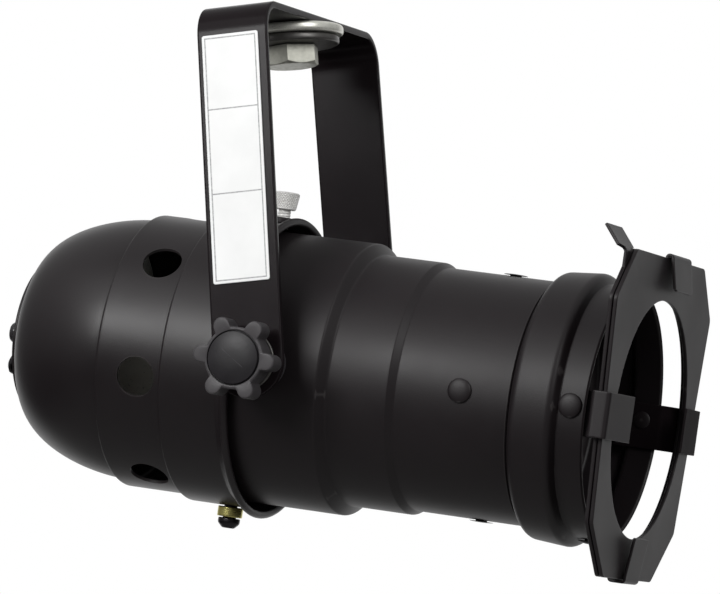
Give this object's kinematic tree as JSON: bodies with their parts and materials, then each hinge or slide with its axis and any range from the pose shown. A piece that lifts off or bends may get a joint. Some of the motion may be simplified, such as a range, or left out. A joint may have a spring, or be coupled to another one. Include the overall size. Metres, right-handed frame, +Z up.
{
  "type": "par can",
  "caption": "Small par can spotlight: stepped tube with a domed rear housing, clipped colour frame and reflector lamp, tilting in a flat-bar yoke on star knobs.",
  "frame": {"origin": "the hanging bolt's axis on the crossbar's top face, where the lantern is held", "axes": "+Z up; +X across, from the labelled arm to the far arm, along the tilt axis; the nose points to -Y, 12.36 degrees down"},
  "size_m": [0.122, 0.1957, 0.1651],
  "materials": {
    "black_paint": "satin black powder coat",
    "black_plastic": "satin moulded black plastic",
    "gland_plastic": "glossy black nylon",
    "white_label": "plain white printed film, ruled lines only",
    "nickel": "nickel plated",
    "zinc": "bright zinc plate",
    "yellow_zinc": "yellow zinc plate",
    "dark_steel": "blackened steel",
    "nylon": "black nylon",
    "reflector": "aluminised glass",
    "lens_glass": "clear lens",
    "brass": "plain brass",
    "porcelain": "off-white glazed porcelain",
    "live_wire": "brown insulation",
    "neutral_wire": "blue insulation",
    "earth_wire": "green and yellow insulation"
  },
  "bodies": {
    "yoke": {"yoke": "black_paint", "label_plate": "white_label", "zinc_washer": "zinc", "dark_washer": "dark_steel"},
    "hanging_bolt": {"hanging_bolt": "zinc"},
    "can": {"front_tube": "black_paint", "front_bezel": "black_paint", "tube_rivet_far": "black_paint", "tube_rivet_top": "black_paint", "tube_rivet_near": "black_paint", "tube_rivet_bottom": "black_paint", "clip_rivet_far": "black_paint", "clip_rivet_near": "black_paint", "clip_rivet_bottom": "black_paint", "clip_near": "black_paint", "clip_far": "black_paint", "clip_bottom": "black_paint", "pivot_nut_near": "zinc", "pivot_nut_far": "zinc", "pivot_spacer_near": "nylon", "pivot_spacer_far": "nylon", "knob_washer_near": "dark_steel", "knob_washer_far": "dark_steel"},
    "knob_near": {"knob_near": "black_plastic", "knob_screw_near": "zinc"},
    "knob_far": {"knob_far": "black_plastic", "knob_screw_far": "zinc"},
    "colour_frame": {"frame_front_plate": "black_paint", "frame_rear_plate": "black_paint"},
    "rear_housing": {"rear_housing": "black_paint", "back_plate": "black_paint", "back_plate_screw_1": "zinc", "back_plate_screw_2": "zinc", "cable_gland": "gland_plastic", "gland_nut": "black_plastic", "thumbscrew_boss": "black_paint", "bottom_standoff": "yellow_zinc", "holder_body": "porcelain", "holder_shell": "brass", "holder_contact": "brass", "holder_plate": "zinc", "holder_screw_1": "zinc", "holder_screw_2": "zinc", "earth_screw": "brass", "terminal_block": "porcelain", "wire_live": "live_wire", "wire_neutral": "neutral_wire", "wire_earth": "earth_wire"},
    "thumbscrew": {"thumbscrew": "nickel"},
    "bottom_screw": {"bottom_screw": "dark_steel"},
    "lamp": {"lamp_reflector": "reflector", "lamp_lens": "lens_glass", "lamp_base": "nickel", "lamp_insulator": "porcelain", "lamp_contact": "brass"}
  },
  "joints": [
    {"name": "bolt_turn", "type": "hinge", "parent": "yoke", "child": "hanging_bolt", "pos_m": [0, 0, 0], "axis": [0, 0, 1], "continuous": true},
    {"name": "can_tilt", "type": "hinge", "parent": "yoke", "child": "can", "pos_m": [0, 0, -0.0989], "axis": [-1, 0, 0], "range_deg": [-62, 60]},
    {"name": "knob_near_turn", "type": "hinge", "parent": "can", "child": "knob_near", "pos_m": [-0.0508, 0, -0.0989], "axis": [-1, 0, 0], "continuous": true},
    {"name": "knob_far_turn", "type": "hinge", "parent": "can", "child": "knob_far", "pos_m": [0.0508, 0, -0.0989], "axis": [1, 0, 0], "continuous": true},
    {"name": "frame_lift", "type": "slide", "parent": "can", "child": "colour_frame", "axis": [0, -0.2141, 0.9768], "range_m": [0, 0.055]},
    {"name": "housing_pull", "type": "slide", "parent": "can", "child": "rear_housing", "axis": [0, 0.9768, 0.2141], "range_m": [0, 0.075]},
    {"name": "thumbscrew_turn", "type": "hinge", "parent": "rear_housing", "child": "thumbscrew", "pos_m": [0, 0.00467, -0.05386], "axis": [0, -0.2141, 0.9768], "continuous": true},
    {"name": "bottom_screw_turn", "type": "hinge", "parent": "rear_housing", "child": "bottom_screw", "pos_m": [0, 0.0263, -0.13716], "axis": [0, 0.2141, -0.9768], "continuous": true},
    {"name": "lamp_unscrew", "type": "hinge", "parent": "rear_housing", "child": "lamp", "pos_m": [0, 0.02931, -0.09248], "axis": [0, -0.9768, -0.2141], "continuous": true}
  ]
}
